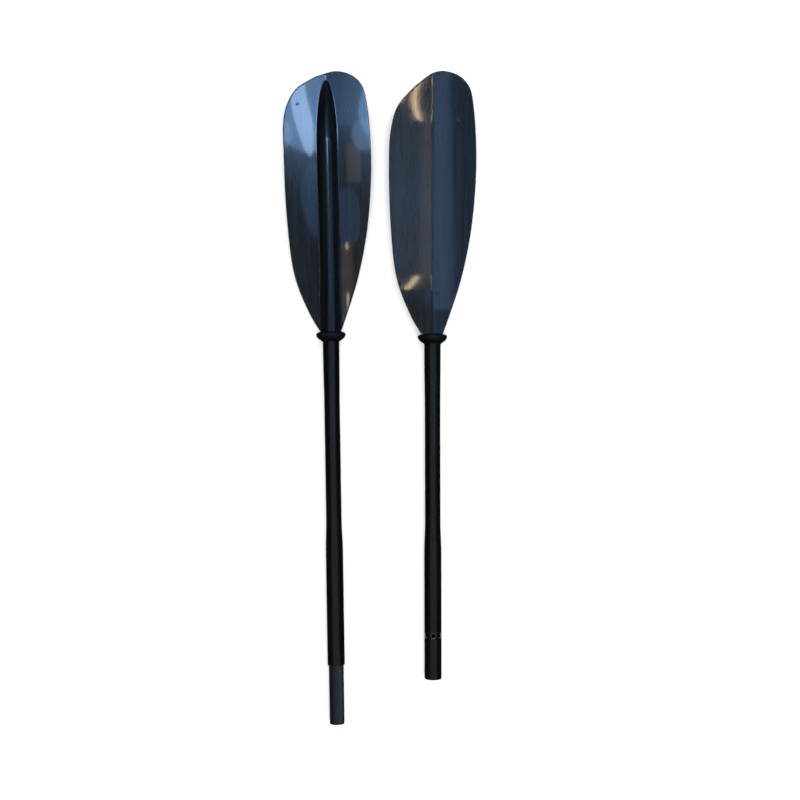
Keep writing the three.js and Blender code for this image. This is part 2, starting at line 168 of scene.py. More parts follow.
# Small round marks that the mould's ejector pins leave: distance across, height, and face.
PIN_RADIUS = 3.2
PIN_DISH = 0.55  # the raised ring's inner foot and its crown, as shares of the mark's radius
PIN_CROWN = 0.78
PIN_LIFT = 0.22
PIN_ROOT = 0.4  # how far the mark reaches into the plate
PIN_STEP = 2.0  # the surface's slope is taken over this distance to either side
PIN_MARKS = {
    "male": [(53, 423, "back"), (-34, 410, "back"), (40, 150, "back")],
    "female": [(-42, 411, "power"), (7, 78, "power"), (46, 395, "power")],
}

# ---- how finely the pieces are meshed ----
ROUND_SIDES = 96
HOLE_SIDES = 48
BUTTON_SIDES = 64
PIN_SIDES = 32
SHAFT_SECTIONS = 90
FERRULE_SECTIONS = 40
SPRING_SECTIONS = 140
TIP_STARTS = 440.0  # height from which the blade's sections crowd together
BLADE_SECTIONS = 126
TIP_SECTIONS = 34
TIP_SLIVER = 0.006  # the last section stops this short of the tip, so that it keeps a width
RIB_ARC_POINTS = 90
RIB_FOOT_POINTS = 12
RIB_PATH_POINTS = 180
NARROW_PANEL = 24.0  # a panel narrower than this squeezes its crowded columns together
CORNER_POINTS = 8
DOME_POINTS = 12
NOSE_POINTS = 24

# ---- finishes: sRGB hex colours, and real sizes in millimetres for each pattern ----
NYLON_DARK = "#040506"
NYLON_PALE = "#0a0d11"
NYLON_SCUFF = "#262c33"
TUBE_BLACK = "#030303"
TUBE_GREY = "#070708"
FERRULE_GREY = "#08090b"
FERRULE_PALE = "#12151a"
RUBBER_BLACK = "#040404"
RUBBER_DUST = "#0d0d0d"
CAP_BLACK = "#08090a"
# the cut faces' bare grey, made pale enough to paint the highlight on the holes' chamfered rims
CUT_GREY_AND_PAINTED_HIGHLIGHT = "#4a4d50"
CUT_PALE_AND_PAINTED_HIGHLIGHT = "#64676a"
STEEL_GREY = "#b4b6b8"
STEEL_DARK = "#96999c"
FOAM_CREAM = "#cdc8b8"
FOAM_SHADE = "#a9a392"
FLOOR_WHITE = "#f4f4f3"
FLOOR_MOTTLE = "#efefee"
FLOOR_REACH = 2.2  # metres from its middle to a side

# The lights that the gloss shows: name, x, y, size in metres, watts, colour, turn in degrees, shape.
CEILING = 2.5
CEILING_LIGHTS = [
    ("window", 0.02, 1.42, (0.8, 0.95), 17, "#7fb2ee", 0, "ELLIPSE"),
    ("window_gap", -0.04, 1.38, (0.2, 0.95), 7, "#b5d8ff", 11, "ELLIPSE"),
    ("window_corner", -0.3, 1.12, (0.3, 0.35), 1.6, "#8fc0f0", 0, "ELLIPSE"),
    ("window_left", -0.55, 1.6, (0.7, 0.8), 4.5, "#6f9bd0", 0, "ELLIPSE"),
    ("window_side", 1.3, 1.6, (1.2, 0.9), 9, "#6592c4", 0, "RECTANGLE"),
    ("cool_card", 1.3, 0.4, (1.3, 1.2), 6.5, "#6592c4", 0, "RECTANGLE"),
    ("cool_tube", 0.68, 0.58, (0.08, 0.6), 0.5, "#7fa6d6", 0, "RECTANGLE"),
    ("cool_wall", 2.6, 0.7, (1.3, 1.9), 9, "#5f7fa6", 0, "RECTANGLE"),
    ("cool_patch", 0.12, 0.6, (0.36, 0.55), 1.0, "#7fb2ee", 0, "ELLIPSE"),
    ("left_patch", -0.5, 0.42, (0.3, 0.4), 0.5, "#7fb2ee", 0, "ELLIPSE"),
    ("warm_card", -0.42, 0.84, (0.16, 0.34), 0.22, "#f0d3b4", 0, "RECTANGLE"),
    ("warm_low_card", -0.65, 0.05, (0.4, 0.35), 0.5, "#f0d3b4", 0, "RECTANGLE"),
    ("warm_tube", -0.31, 0.6, (0.008, 0.16), 0.32, "#ffdcb0", 14, "RECTANGLE"),
    ("warm_spot", -0.51, 0.22, (0.02, 0.06), 0.09, "#ffdcb0", 0, "RECTANGLE"),
    ("grey_card", 0.3, -0.75, (4.5, 1.7), 10, "#ece8e2", 0, "RECTANGLE"),
    ("right_card", 2.4, -2.0, (1.6, 0.7), 8, "#9fb4d4", 0, "RECTANGLE"),
]
ROOM_STRENGTH = 0.03  # what the dim room around the softboxes gives off
ROOM_COLOUR = "#c6cfdc"
PLAIN_WHITE = "#ffffff"
LAYER_GAP = 0.002  # each hangs a little lower than the last, because lamps in one plane hide each other
SIDE_CARD = ("side_card", (1.5, -1.0, 0.55), (-0.1, -0.55, 0.02), (0.9, 0.7), 9, "#8fa3bf")

# White softboxes that the gloss doesn't show: x, y and watts of the side ones, which all hang alike.
OVERHEAD_HEIGHT = 3.2
OVERHEAD_SIZE = (3.2, 3.2)
OVERHEAD_WATTS = 170
SIDE_FILLS = [(-2.4, -1.6, 14), (2.4, -1.6, 52), (-2.4, 1.6, 24), (2.4, 1.6, 38)]
SIDE_FILL_HEIGHT = 2.2
SIDE_FILL_SIZE = (2.2, 2.2)
SIDE_FILL_AIM = 0.2  # each points at this share of its own distance from the middle

CAMERA_FROM_MIDDLE = (0.0373, -0.0044, 2.29)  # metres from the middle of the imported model
LENS = 56.25
SENSOR = 36.0
CLIP_END = 50.0


# ---- small tools ----

def linear(hex_colour):
    """An sRGB hex colour as linear red, green, blue and alpha."""
    parts = [int(hex_colour[i:i + 2], 16) / 255 for i in (1, 3, 5)]
    flat = [c / 12.92 if c <= 0.04045 else ((c + 0.055) / 1.055) ** 2.4 for c in parts]
    return (*flat, 1.0)


def add(tree, kind, inputs=None, **properties):
    """Adds a node with its settings. An input is a value, or an output socket to link."""
    made = tree.nodes.new(kind)
    for key, value in properties.items():
        setattr(made, key, value)
    for key, value in (inputs or {}).items():
        if isinstance(value, bpy.types.NodeSocket):
            tree.links.new(value, made.inputs[key])
        else:
            made.inputs[key].default_value = value
    return made


def new_material(name, roughness, metallic=0.0, ior=1.5):
    """A material with its shader's even values set, and its node tree, shader and place in the object."""
    material = bpy.data.materials.new(name)
    material.use_nodes = True
    tree = material.node_tree
    shader = tree.nodes["Principled BSDF"]
    shader.inputs["Roughness"].default_value = roughness
    shader.inputs["Metallic"].default_value = metallic
    if metallic == 0.0:
        shader.inputs["IOR"].default_value = ior
    place = add(tree, "ShaderNodeTexCoord")
    return material, tree, shader, place.outputs["Object"]


def stretched_noise(tree, place, size_mm, detail=3.0, roughness=0.5, turn=0.0):
    """Noise whose grains have a real size in millimetres across x, y and z."""
    grain = add(tree, "ShaderNodeMapping", {
        "Vector": place,
        "Rotation": (0.0, 0.0, turn),
        "Scale": tuple(1.0 / (s * MM) for s in size_mm),
    })
    noise = add(tree, "ShaderNodeTexNoise", {
        "Vector": grain.outputs["Vector"],
        "Scale": 1.0,
        "Detail": detail,
        "Roughness": roughness,
    })
    return noise.outputs["Fac"]


def remap(tree, value, low, high, to_low=0.0, to_high=1.0):
    """Stretches the part of a value between low and high over a new range."""
    made = add(tree, "ShaderNodeMapRange", {
        "Value": value, "From Min": low, "From Max": high, "To Min": to_low, "To Max": to_high,
    })
    return made.outputs["Result"]


def blend_colours(tree, share, first, second):
    """Mixes two colours, each a hex text or a colour socket."""
    pair = [linear(c) if isinstance(c, str) else c for c in (first, second)]
    made = add(tree, "ShaderNodeMix", {0: share, 6: pair[0], 7: pair[1]}, data_type="RGBA")
    return made.outputs[2]


def combine(tree, operation, first, second):
    """Works out one number from two, each a value or an output socket."""
    made = add(tree, "ShaderNodeMath", {0: first, 1: second}, operation=operation)
    return made.outputs["Value"]


def raise_surface(tree, shader, height, distance_mm):
    """Gives a surface relief that stands this far from its lowest to its highest."""
    bump = add(tree, "ShaderNodeBump", {"Height": height, "Distance": distance_mm * MM, "Strength": 1.0})
    tree.links.new(bump.outputs["Normal"], shader.inputs["Normal"])


# ---- materials ----

def moulded_nylon():
    """Glass-filled nylon, injection moulded: near black under a polished skin that mirrors the room
    over a softer sheen. Faint flow lines and hair scratches run along the blade, and the edge is
    scuffed where it meets rock."""
    material, tree, shader, place = new_material("glass_filled_nylon_moulded", 0.3, ior=1.5)
    shader.inputs["Coat Weight"].default_value = 0.65
    shader.inputs["Coat Roughness"].default_value = 0.05
    shader.inputs["Coat IOR"].default_value = 1.45
    shader.inputs["Specular IOR Level"].default_value = 0.35
    flow = stretched_noise(tree, place, (9, 260, 9), 2.0)
    fibre = stretched_noise(tree, place, (1.8, 240, 1.8), 2.0, 0.5)
    scratch = stretched_noise(tree, place, (0.9, 38, 0.9), 1.0, 0.4, math.radians(-5))
    scratched = remap(tree, scratch, 0.76, 0.8)
    nearness = add(tree, "ShaderNodeAttribute", attribute_name="edge_nearness").outputs["Fac"]
    patchy = stretched_noise(tree, place, (6, 9, 6), 4.0, 0.7)
    scuffed = remap(tree, combine(tree, "MULTIPLY", nearness, patchy), 0.48, 0.66)
    tone = combine(tree, "ADD", combine(tree, "MULTIPLY", flow, 0.75),
                   combine(tree, "MULTIPLY", fibre, 0.25))
    body = blend_colours(tree, remap(tree, tone, 0.36, 0.64), NYLON_DARK, NYLON_PALE)
    worn = combine(tree, "MAXIMUM", combine(tree, "MULTIPLY", scratched, 0.25),
                   combine(tree, "MULTIPLY", scuffed, 0.3))
    tree.links.new(blend_colours(tree, worn, body, NYLON_SCUFF), shader.inputs["Base Color"])
    sheen = remap(tree, tone, 0.35, 0.65, 0.25, 0.3)
    dulled = combine(tree, "MULTIPLY", worn, 0.35)
    tree.links.new(combine(tree, "ADD", sheen, dulled), shader.inputs["Roughness"])
    return material


def wound_tube():
    """Fibre-reinforced epoxy tube, wound on a mandrel and sprayed black: satin gloss that shows the
    faintest slanting wraps, with fine lengthwise rub marks."""
    material, tree, shader, place = new_material("wound_epoxy_tube_sprayed", 0.34, ior=1.52)
    rubbed = stretched_noise(tree, place, (0.8, 60, 0.8), 4.0, 0.6)
    wraps = stretched_noise(tree, place, (60, 9, 60), 1.0, 0.5, math.radians(28))
    mist = stretched_noise(tree, place, (22, 70, 22), 3.0)
    tone = remap(tree, combine(tree, "MULTIPLY", rubbed, mist), 0.16, 0.42)
    tree.links.new(blend_colours(tree, tone, TUBE_BLACK, TUBE_GREY), shader.inputs["Base Color"])
    tree.links.new(remap(tree, rubbed, 0.3, 0.75, 0.24, 0.34), shader.inputs["Roughness"])
    height = combine(tree, "ADD", wraps, combine(tree, "MULTIPLY", rubbed, 0.3))
    raise_surface(tree, shader, height, 0.006)
    return material


def sanded_composite():
    """Bare glass and carbon composite, ground round to size: dull dark grey with fine rings from the
    grinding and paler fibres that run along it."""
    material, tree, shader, place = new_material("ground_composite_ferrule", 0.5, ior=1.55)
    rings = stretched_noise(tree, place, (40, 0.5, 40), 4.0, 0.6)
    fibres = stretched_noise(tree, place, (0.9, 24, 0.9), 4.0, 0.65)
    tone = combine(tree, "ADD", combine(tree, "MULTIPLY", rings, 0.45),
                   combine(tree, "MULTIPLY", fibres, 0.55))
    share = remap(tree, tone, 0.36, 0.64)
    tree.links.new(blend_colours(tree, share, FERRULE_GREY, FERRULE_PALE), shader.inputs["Base Color"])
    tree.links.new(remap(tree, rings, 0.3, 0.7, 0.4, 0.58), shader.inputs["Roughness"])
    raise_surface(tree, shader, tone, 0.04)
    return material


def cut_composite_with_painted_highlight():
    """The same composite where a drill has cut it: bare glass ends, paler than the sprayed outside. Their
    pale grey is also a painted highlight that stands in for the glint on the holes' chamfered rims.
    """
    material, tree, shader, place = new_material("cut_glass_composite_painted_highlight", 0.6, ior=1.55)
    ends = stretched_noise(tree, place, (0.5, 0.5, 0.5), 3.0)
    # pale cut faces: bare composite, and a painted highlight on the holes' rims
    tree.links.new(blend_colours(tree, ends, CUT_GREY_AND_PAINTED_HIGHLIGHT, CUT_PALE_AND_PAINTED_HIGHLIGHT), shader.inputs["Base Color"])
    raise_surface(tree, shader, ends, 0.03)
    return material


def moulded_rubber():
    """Natural rubber, compression moulded: soft matte black with a fine grain and a little dust."""
    material, tree, shader, place = new_material("compression_moulded_rubber", 0.62, ior=1.52)
    grain = stretched_noise(tree, place, (0.9, 0.9, 0.9), 3.0)
    dust = stretched_noise(tree, place, (9, 9, 9), 5.0, 0.7)
    dusty = remap(tree, dust, 0.5, 0.78, 0.0, 0.6)
    tree.links.new(blend_colours(tree, dusty, RUBBER_BLACK, RUBBER_DUST), shader.inputs["Base Color"])
    tree.links.new(remap(tree, dust, 0.3, 0.7, 0.5, 0.72), shader.inputs["Roughness"])
    raise_surface(tree, shader, grain, 0.05)
    return material


def moulded_cap_plastic():
    """Polyethylene, injection moulded: waxy black with a faint spark-eroded grain."""
    material, tree, shader, place = new_material("polyethylene_moulded_cap", 0.5, ior=1.51)
    grain = stretched_noise(tree, place, (0.6, 0.6, 0.6), 3.0)
    tree.links.new(blend_colours(tree, grain, CAP_BLACK, TUBE_GREY), shader.inputs["Base Color"])
    tree.links.new(remap(tree, grain, 0.3, 0.7, 0.44, 0.58), shader.inputs["Roughness"])
    raise_surface(tree, shader, grain, 0.03)
    return material


def stamped_steel():
    """Stainless spring steel, stamped and tumbled: grey metal with a soft rubbed grain."""
    material, tree, shader, place = new_material("stainless_steel_tumbled", 0.3, metallic=1.0)
    grain = stretched_noise(tree, place, (0.3, 3.0, 0.3), 4.0, 0.6)
    tree.links.new(blend_colours(tree, grain, STEEL_DARK, STEEL_GREY), shader.inputs["Base Color"])
    tree.links.new(remap(tree, grain, 0.3, 0.7, 0.22, 0.4), shader.inputs["Roughness"])
    raise_surface(tree, shader, grain, 0.01)
    return material


def closed_cell_foam():
    """Polyurethane foam, poured and set: cream and dull, pitted with cells about a millimetre wide."""
    material, tree, shader, place = new_material("closed_cell_foam_poured", 0.9, ior=1.45)
    cells = add(tree, "ShaderNodeTexVoronoi", {"Vector": place, "Scale": 1.0 / (1.2 * MM)})
    tone = remap(tree, cells.outputs["Distance"], 0.1, 0.6)
    tree.links.new(blend_colours(tree, tone, FOAM_CREAM, FOAM_SHADE), shader.inputs["Base Color"])
    raise_surface(tree, shader, cells.outputs["Distance"], -0.3)
    return material


def painted_board():
    """The floor: a board painted matte white, with the slightest roller mottle."""
    material, tree, shader, place = new_material("board_painted_matte_white", 0.75)
    mottle = stretched_noise(tree, place, (6, 6, 6), 4.0)
    tree.links.new(blend_colours(tree, mottle, FLOOR_WHITE, FLOOR_MOTTLE), shader.inputs["Base Color"])
    raise_surface(tree, shader, mottle, 0.05)
    return material


# ---- shaping tools ----

def smooth_through(points, per_span=60):
    """Points along a centripetal Catmull-Rom curve that passes through the given ones."""
    p = np.array(points, float)
    p = np.vstack([2 * p[0] - p[1], p, 2 * p[-1] - p[-2]])
    spans = []
    for i in range(1, len(p) - 2):
        four = p[i - 1:i + 3]
        gaps = np.linalg.norm(np.diff(four, axis=0), axis=1) ** 0.5
        t0, t1, t2, t3 = np.concatenate([[0], np.cumsum(gaps)])
        t = np.linspace(t1, t2, per_span, endpoint=False)[:, None]
        a = (t1 - t) / (t1 - t0) * four[0] + (t - t0) / (t1 - t0) * four[1]
        b = (t2 - t) / (t2 - t1) * four[1] + (t - t1) / (t2 - t1) * four[2]
        c = (t3 - t) / (t3 - t2) * four[2] + (t - t2) / (t3 - t2) * four[3]
        ab = (t2 - t) / (t2 - t0) * a + (t - t0) / (t2 - t0) * b
        bc = (t3 - t) / (t3 - t1) * b + (t - t1) / (t3 - t1) * c
        spans.append((t2 - t) / (t2 - t1) * ab + (t - t1) / (t2 - t1) * bc)
    return np.vstack(spans + [p[-2:-1]])


def evenly_along(path, count):
    """A path's points moved so that they are evenly spaced along it."""
    steps = np.linalg.norm(np.diff(path, axis=0), axis=1)
    run = np.concatenate([[0], np.cumsum(steps)])
    wanted = np.linspace(0, run[-1], count)
    return np.column_stack([np.interp(wanted, run, path[:, k]) for k in range(path.shape[1])])


def half_frame(half):
    """Takes a half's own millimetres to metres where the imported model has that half."""
    slide = next(j for j in frame["joints"] if j["name"] == f"{half}_drip_ring_slide")
    along = -Vector(slide["axis"]).normalized()
    up = Vector((0, 0, 1 if half == "female" else -1))
    power = (up - along * up.dot(along)).normalized()
    across = along.cross(power)
    low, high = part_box(f"{half}_drip_ring")
    centre = (low + high) / 2
    centre.y -= MM * (RING_FOOT + RING_TOP) / 2
    turned = Matrix((across, along, power)).transposed().to_4x4()
    return Matrix.Translation(centre) @ turned @ Matrix.Scale(MM, 4)


HALF_FRAMES = {half: half_frame(half) for half in ("male", "female")}


def piece_from(bm, name, half, body, material, replaced, sharp_degrees=38):
    """Places a mesh built in a half's frame and hides the imported parts that it stands for. A piece that
    bends between two bodies comes with no body."""
    bm.normal_update()
    for edge in bm.edges:
        edge.smooth = not edge.link_faces or edge.calc_face_angle(0.0) < math.radians(sharp_degrees)
    for face in bm.faces:
        face.smooth = True
    bm.transform(HALF_FRAMES[half])
    mesh = bpy.data.meshes.new(name)
    bm.to_mesh(mesh)
    bm.free()
    piece = bpy.data.objects.new(name, mesh)
    bpy.context.scene.collection.objects.link(piece)
    mesh.materials.append(material)
    if body:
        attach(piece, body)
    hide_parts(*replaced)
    return piece


def skin(bm, loops, closed_ends=True):
    """Faces between each loop of points and the next, with a flat face over each end."""
    rows = [[bm.verts.new(p) for p in loop] for loop in loops]
    size = len(rows[0])
    for low, high in zip(rows, rows[1:]):
        for k in range(size):
            n = (k + 1) % size
            bm.faces.new((low[k], low[n], high[n], high[k]))
    if closed_ends:
        bm.faces.new(rows[0][::-1])
        bm.faces.new(rows[-1])
    return rows


def turned_body(profile, sides=ROUND_SIDES):
    """A body of revolution about y from (radius, height) points that start and end on the axis,
    or that close on themselves to make a ring."""
    bm = bmesh.new()
    on_axis = profile[0][0] < 1e-6
    angles = [2 * math.pi * k / sides for k in range(sides)]
    rows = []
    for radius, height in profile:
        if radius < 1e-6:
            rows.append([bm.verts.new((0, height, 0))])
        else:
            circle = [(radius * math.sin(a), height, radius * math.cos(a)) for a in angles]
            rows.append([bm.verts.new(point) for point in circle])
    pairs = list(zip(rows, rows[1:])) if on_axis else list(zip(rows, rows[1:] + rows[:1]))
    for low, high in pairs:
        for k in range(sides):
            n = (k + 1) % sides
            corners = [low[k % len(low)], low[n % len(low)], high[n % len(high)], high[k % len(high)]]
            bm.faces.new(list(dict.fromkeys(corners)))
    bmesh.ops.recalc_face_normals(bm, faces=bm.faces)
    return bm


def carve(bm, cutters):
    """Cuts bodies away from a mesh, exactly. A cut face keeps the number of its cutter's material."""
    def as_object(source, name):
        """An object with two empty material slots, for the body's faces and the cut ones."""
        mesh = bpy.data.meshes.new(name)
        source.to_mesh(mesh)
        source.free()
        mesh.materials.append(None)
        mesh.materials.append(None)
        made = bpy.data.objects.new(name, mesh)
        bpy.context.scene.collection.objects.link(made)
        return made

    body = as_object(bm, "carved")
    tools = [as_object(cutter, "cutter") for cutter in cutters]
    for tool in tools:
        cut = body.modifiers.new("cut", "BOOLEAN")
        cut.operation = "DIFFERENCE"
        cut.solver = "EXACT"
        cut.object = tool
    bpy.context.view_layer.update()
    result = bmesh.new()
    result.from_object(body, bpy.context.evaluated_depsgraph_get())
    for made in [body, *tools]:
        bpy.data.meshes.remove(made.data)
    return result


# ---- the blade ----

def crease_at(y):
    """How far in front of the shaft's axis the crease lies at this height."""
    line = smooth_through(CREASE_LINE)
    return np.interp(y, line[:, 0], line[:, 1])


def power_face(x, y):
    """The moulded power face: two panels that fall away from a crease which is a little rounded."""
    fall = PANEL_FALL * (np.sqrt(x * x + CREASE_SOFTNESS ** 2) - CREASE_SOFTNESS)
    return crease_at(y) - fall + PANEL_CUP * x * x


def plate_thickness(x):
    """The plate is thickest at the crease and thins evenly to its edge."""
    share = np.minimum(1, np.abs(x) / PLATE_HALF_WIDTH)
    return PLATE_MIDDLE + (PLATE_EDGE - PLATE_MIDDLE) * share


def blade_outline(half):
    """The blade's edge seen on its power face, from the root up the long side and down the short side."""
    short = [(h, -x) for h, x in SHORT_SIDE + SHOULDER[half]]
    points = LONG_SIDE + [(BLADE_TIP, TIP_ACROSS)] + short[::-1]
    return smooth_through([(x * HAND[half], h - ROOT_SHIFT[half]) for h, x in points])


def edges_at(outline, y):
    """Where the blade's two edges lie across a section at this height."""
    top = int(np.argmax(outline[:, 1]))
    climbing = outline[:top + 1]
    falling = outline[top:][::-1]
    ends = [np.interp(y, side[:, 1], side[:, 0]) for side in (climbing, falling)]
    return min(ends), max(ends)


def distance_to(outline, x, y):
    """How far each point lies from the blade's edge line."""
    start = outline[:-1]
    step = np.diff(outline, axis=0)
    square = (step ** 2).sum(1)
    out = np.empty(len(x))
    for i, point in enumerate(np.column_stack([x, y])):
        share = np.clip(((point - start) * step).sum(1) / square, 0, 1)
        out[i] = np.sqrt(((start + share[:, None] * step - point) ** 2).sum(1).min())
    return out


def rib_at(y):
    """The rib's radius, the height of its centre, and half of its width at the plate."""
    radius = COLLAR_RADIUS + (RIB_RADIUS - COLLAR_RADIUS) * min(y, COLLAR_LENGTH) / COLLAR_LENGTH
    sunk = min(0.998, max(0.0, (y - RIB_FULL_TO) / (RIB_ENDS - RIB_FULL_TO)))
    half_width = max(RIDGE_HALF_WIDTH, radius * math.sqrt(1 - sunk * sunk))
    if sunk > 0:
        return radius, back_face(half_width, y) + radius * sunk, half_width
    rise = min(1.0, y / RIB_FULL_TO)
    return radius, back_face(radius, RIB_FULL_TO) * rise ** 3, half_width


def back_face(x, y):
    """The panels of the back, which follow the power face at the plate's thickness."""
    return power_face(x, y) - plate_thickness(x)


def rib_path(y, right, left):
    """The back's section from one panel over the rib to the other, with moulded fillets at its feet."""
    radius, centre, half_width = rib_at(y)
    plate = back_face(half_width, y)
    start = math.asin(max(0.0, min(0.9999, (centre - plate) / radius)))
    turn = np.linspace(start, math.pi - start, RIB_ARC_POINTS)
    arc = np.column_stack([radius * np.cos(turn), centre - radius * np.sin(turn)])
    arc[:, 1] = np.minimum(arc[:, 1], back_face(arc[:, 0], y) - 0.01)
    out = np.linspace(right, half_width, RIB_FOOT_POINTS)
    near = np.column_stack([out, back_face(out, y)])
    out = np.linspace(-half_width, left, RIB_FOOT_POINTS)
    far = np.column_stack([out, back_face(out, y)])
    path = evenly_along(np.vstack([near, arc, far]), RIB_PATH_POINTS)
    spacing = np.linalg.norm(np.diff(path, axis=0), axis=1).mean()
    reach = max(1, int(round(RIB_FILLET / spacing / 2)))
    window = np.ones(2 * reach + 1) / (2 * reach + 1)
    for _ in range(2):
        padded = np.vstack([path[:1]] * reach + [path] + [path[-1:]] * reach)
        soft = np.column_stack([np.convolve(padded[:, k], window, "valid") for k in (0, 1)])
        soft[0] = path[0]
        soft[-1] = path[-1]
        path = soft
    return path


EDGE_STEPS = np.array([0.0, 0.1, 0.35, 0.8, 1.4, 2.6])  # columns crowd round the rounded edge
CREASE_STEPS = np.array([3.0, 1.6, 0.8, 0.35])  # and round the crease
PANEL_COLUMNS = 14
RIB_COLUMNS = 44


def panel_columns(edge, middle):
    """Places across one panel of the power face, from its edge to the crease."""
    width = abs(middle - edge)
    squeeze = min(1.0, width / NARROW_PANEL)
    outer = EDGE_STEPS * squeeze
    inner = width - CREASE_STEPS * squeeze
    between = np.linspace(outer[-1], inner[0], PANEL_COLUMNS)[1:-1]
    return edge + np.sign(middle - edge) * np.concatenate([outer, between, inner])


def back_columns(edge, foot):
    """Places across one panel of the back, from its edge to the rib's foot."""
    width = abs(foot - edge)
    squeeze = min(1.0, width / NARROW_PANEL)
    outer = EDGE_STEPS * squeeze
    between = np.linspace(outer[-1], width, PANEL_COLUMNS)[1:-1]
    return edge + np.sign(foot - edge) * np.concatenate([outer, between])


def blade_rows(top):
    """Heights of the sections: even along the blade, and crowding together towards the round tip."""
    even = np.linspace(BLADE_ROOT, TIP_STARTS, BLADE_SECTIONS)
    share = np.arange(1, TIP_SECTIONS) / TIP_SECTIONS
    tip = top - (top - TIP_STARTS) * (1 - share) ** 2
    return np.concatenate([even, tip, [top - TIP_SLIVER]])


def crease_across(left, right):
    """Where the crease crosses a section: on the middle line, or inside the slanting tip that is left
    where one edge has come in past that line."""
    if left < -CREASE_CLEAR and right > CREASE_CLEAR:
        return 0.0
    width = right - left
    inner = left + CREASE_KEEPS_LEFT * width if left > -CREASE_CLEAR else left
    return min(max(0.0, inner), right - CREASE_KEEPS_RIGHT * width)


def rib_width_across(y, left, middle, right):
    """Half of the rib's width, which also shrinks with the plate beyond the rib's end."""
    half_width = rib_at(y)[2]
    if y > RIB_ENDS:
        return min(half_width, RIB_KEEPS * (right - middle), RIB_KEEPS * (middle - left))
    return half_width


def foot_reach(half_width, room):
    """How far from the rib's middle its section runs out over the panel, within the room there."""
    return half_width + min(FOOT_WIDTH, FOOT_SHARE * (room - half_width))


def blade_loops(half):
    """Closed loops of points across the blade: its power face, then its back with the rib."""
    outline = blade_outline(half)
    top = outline[:, 1].max()
    loops = []
    for y in blade_rows(top):
        left, right = edges_at(outline, y)
        middle = crease_across(left, right)
        half_width = rib_width_across(y, left, middle, right)
        reach_right = foot_reach(half_width, right - middle)
        reach_left = foot_reach(half_width, middle - left)
        path = evenly_along(rib_path(y, reach_right, -reach_left), RIB_COLUMNS)
        power_x = np.concatenate([
            panel_columns(left, middle), [middle], panel_columns(right, middle)[::-1],
        ])
        right_x = back_columns(right, middle + reach_right)[1:]
        left_x = back_columns(left, middle - reach_left)[::-1][:-1]
        rib_z = path[:, 1] + back_face(middle, y) - back_face(0, y)
        back_x = np.concatenate([right_x, path[:, 0] + middle, left_x])
        back_z = np.concatenate([back_face(right_x, y), rib_z, back_face(left_x, y)])
        x = np.concatenate([power_x, back_x])
        z = np.concatenate([power_face(power_x, y), back_z])
        loops.append(np.column_stack([x, np.full(len(x), y), z]))
    return outline, np.array(loops), len(power_x)


def round_the_edge(outline, loops, power_count):
    """Rounds the edge, leans the blade to its side, and says how near to the edge each point lies."""
    rows, size, _ = loops.shape
    flat = loops.reshape(-1, 3)
    near = distance_to(outline, flat[:, 0], flat[:, 1])
    thickness = plate_thickness(flat[:, 0])
    radius = thickness / 2
    inset = np.clip(radius - near, 0, radius)
    lost = radius - np.sqrt(np.maximum(0, radius ** 2 - inset ** 2))
    sign = np.where(np.arange(size) < power_count, -1.0, 1.0)
    flat[:, 2] += lost * np.tile(sign, rows)
    drift = BLADE_DRIFT * (flat[:, 1] / BLADE_TIP) ** 2
    nearness = np.clip(1 - near / SCUFF_REACH, 0, 1)
    flat[:, 0] += drift
    return loops, nearness


def pin_mark(x, y, face):
    """A round witness mark: a ring that stands a hair proud of the moulded surface."""
    profile = [(0, PIN_LIFT * 0.3), (PIN_RADIUS * PIN_DISH, PIN_LIFT * 0.2),
               (PIN_RADIUS * PIN_CROWN, PIN_LIFT), (PIN_RADIUS, 0.02),
               (PIN_RADIUS, -PIN_ROOT), (0, -PIN_ROOT)]
    mark = turned_body(profile, PIN_SIDES)
    surface = power_face if face == "power" else back_face
    side = 1 if face == "power" else -1
    slope_x = (surface(x + PIN_STEP, y) - surface(x - PIN_STEP, y)) / (2 * PIN_STEP)
    slope_y = (surface(x, y + PIN_STEP) - surface(x, y - PIN_STEP)) / (2 * PIN_STEP)
    normal = Vector((-slope_x, -slope_y, 1)).normalized() * side
    drift = BLADE_DRIFT * (y / BLADE_TIP) ** 2
    seat = Matrix.Translation((x + drift, y, float(surface(x, y))))
    mark.transform(seat @ Vector((0, 1, 0)).rotation_difference(normal).to_matrix().to_4x4())
    return mark


def make_blade(half, material):
    """One moulding: the skin of the blade, with the shaft's socket cut in and the pin marks added."""
    outline, loops, power_count = blade_loops(half)
    loops, nearness = round_the_edge(outline, loops, power_count)
    bm = bmesh.new()
    layer = bm.verts.layers.float.new("edge_nearness")
    rows = skin(bm, [[Vector(p) for p in loop] for loop in loops.tolist()])
    for vert, value in zip([v for row in rows for v in row], nearness):
        vert[layer] = float(value)
    bmesh.ops.recalc_face_normals(bm, faces=bm.faces)
    socket = turned_body([
        (0, 0), (SHAFT_RADIUS + SOCKET_GAP, 0),
        (SHAFT_RADIUS + SOCKET_GAP, SHAFT_IN_BLADE + SOCKET_GAP), (0, SHAFT_IN_BLADE + SOCKET_GAP),
    ])
    bm = carve(bm, [socket])
    for x, y, face in PIN_MARKS[half]:
        mark = pin_mark(x, y, face)
        scrap = bpy.data.meshes.new("mark")
        mark.to_mesh(scrap)
        mark.free()
        bm.from_mesh(scrap)
        bpy.data.meshes.remove(scrap)
    return piece_from(bm, f"{half}_blade_moulding", half, f"{half}_half", material,
                      [f"{half}_blade"])


# ---- shafts, ferrule and fittings ----

STOOD_UP = Matrix.Rotation(math.radians(90), 4, "X")  # turns a body from along the shaft to across it


def ease(value, start, end):
    """Rises smoothly from 0 at the start to 1 at the end."""
    t = min(1.0, max(0.0, (value - start) / (end - start)))
    return t * t * (3 - 2 * t)


